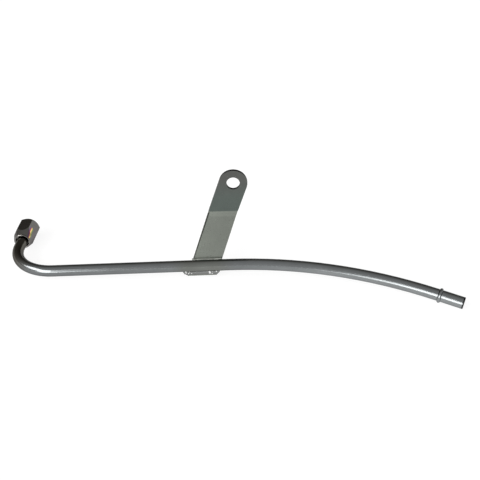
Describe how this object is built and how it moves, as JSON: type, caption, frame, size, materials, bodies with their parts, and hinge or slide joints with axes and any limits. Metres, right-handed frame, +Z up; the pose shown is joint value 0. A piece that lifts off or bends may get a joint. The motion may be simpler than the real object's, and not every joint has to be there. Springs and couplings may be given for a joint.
{
  "type": "dipstick tube",
  "caption": "Bent steel dipstick tube with a flared end and swivelling tube nut, a beaded open end and a welded strip bracket with a bolt hole.",
  "frame": {"origin": "centre of the flared tip of the tube, on the axis of the tube nut", "axes": "+Y out of the open end of the tube nut, +X along the straight stretch towards the beaded open end, +Z up from the bench the tube lies on"},
  "size_m": [0.379, 0.124, 0.0869],
  "materials": {
    "tube": "zinc plated, satin",
    "sleeve": "zinc plated, satin",
    "nut": "zinc plated, faintly iridescent",
    "bracket": "zinc plated, rolled sheet",
    "weld": "zinc plated over weld ripple"
  },
  "bodies": {
    "frame": {"tube": "tube", "bracket": "bracket", "foot_weld": "weld", "top_weld": "weld"},
    "sleeve": {"sleeve": "sleeve"},
    "nut": {"tube_nut": "nut"}
  },
  "joints": [
    {"name": "sleeve_slide", "type": "slide", "parent": "frame", "child": "sleeve", "axis": [0, -1, 0], "range_m": [0, 0.011]},
    {"name": "nut_turn", "type": "hinge", "parent": "sleeve", "child": "nut", "pos_m": [0, 0, 0], "axis": [0, 1, 0], "continuous": true}
  ]
}
